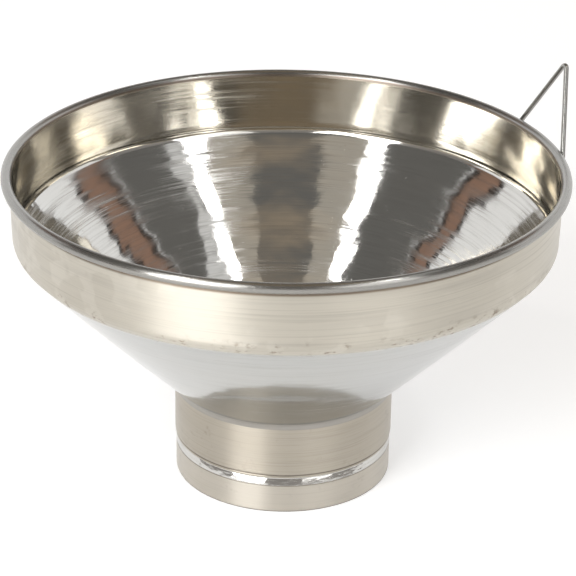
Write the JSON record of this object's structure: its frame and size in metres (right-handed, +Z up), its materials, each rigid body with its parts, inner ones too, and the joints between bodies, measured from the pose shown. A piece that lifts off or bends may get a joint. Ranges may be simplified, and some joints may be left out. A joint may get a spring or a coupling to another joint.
{
  "type": "canning funnel",
  "caption": "Wide-mouth metal canning funnel: rolled-rim bowl, straight cone, short grooved spout collar and a bent-wire hanging hook spot-welded behind the rim.",
  "frame": {"origin": "on the spout's axis, level with the spout's bottom edge", "axes": "+Z up through the spout and bowl, -Y towards the viewer, +X to the viewer's right; the hook is 22 degrees round from +X towards +Y"},
  "size_m": [0.141, 0.14, 0.0994],
  "materials": {
    "bowl": "polished inside and on the cone, satin on the upright band",
    "spout_collar": "satin with fine turned lines, polished groove",
    "neck_weld": "ground and polished weld bead",
    "hanging_hook": "bright drawn wire",
    "hook_spot_welds": "as welded"
  },
  "bodies": {
    "root": {"bowl": "bowl", "spout_collar": "spout_collar", "neck_weld": "neck_weld", "hanging_hook": "hanging_hook", "hook_spot_welds": "hook_spot_welds"}
  },
  "joints": []
}
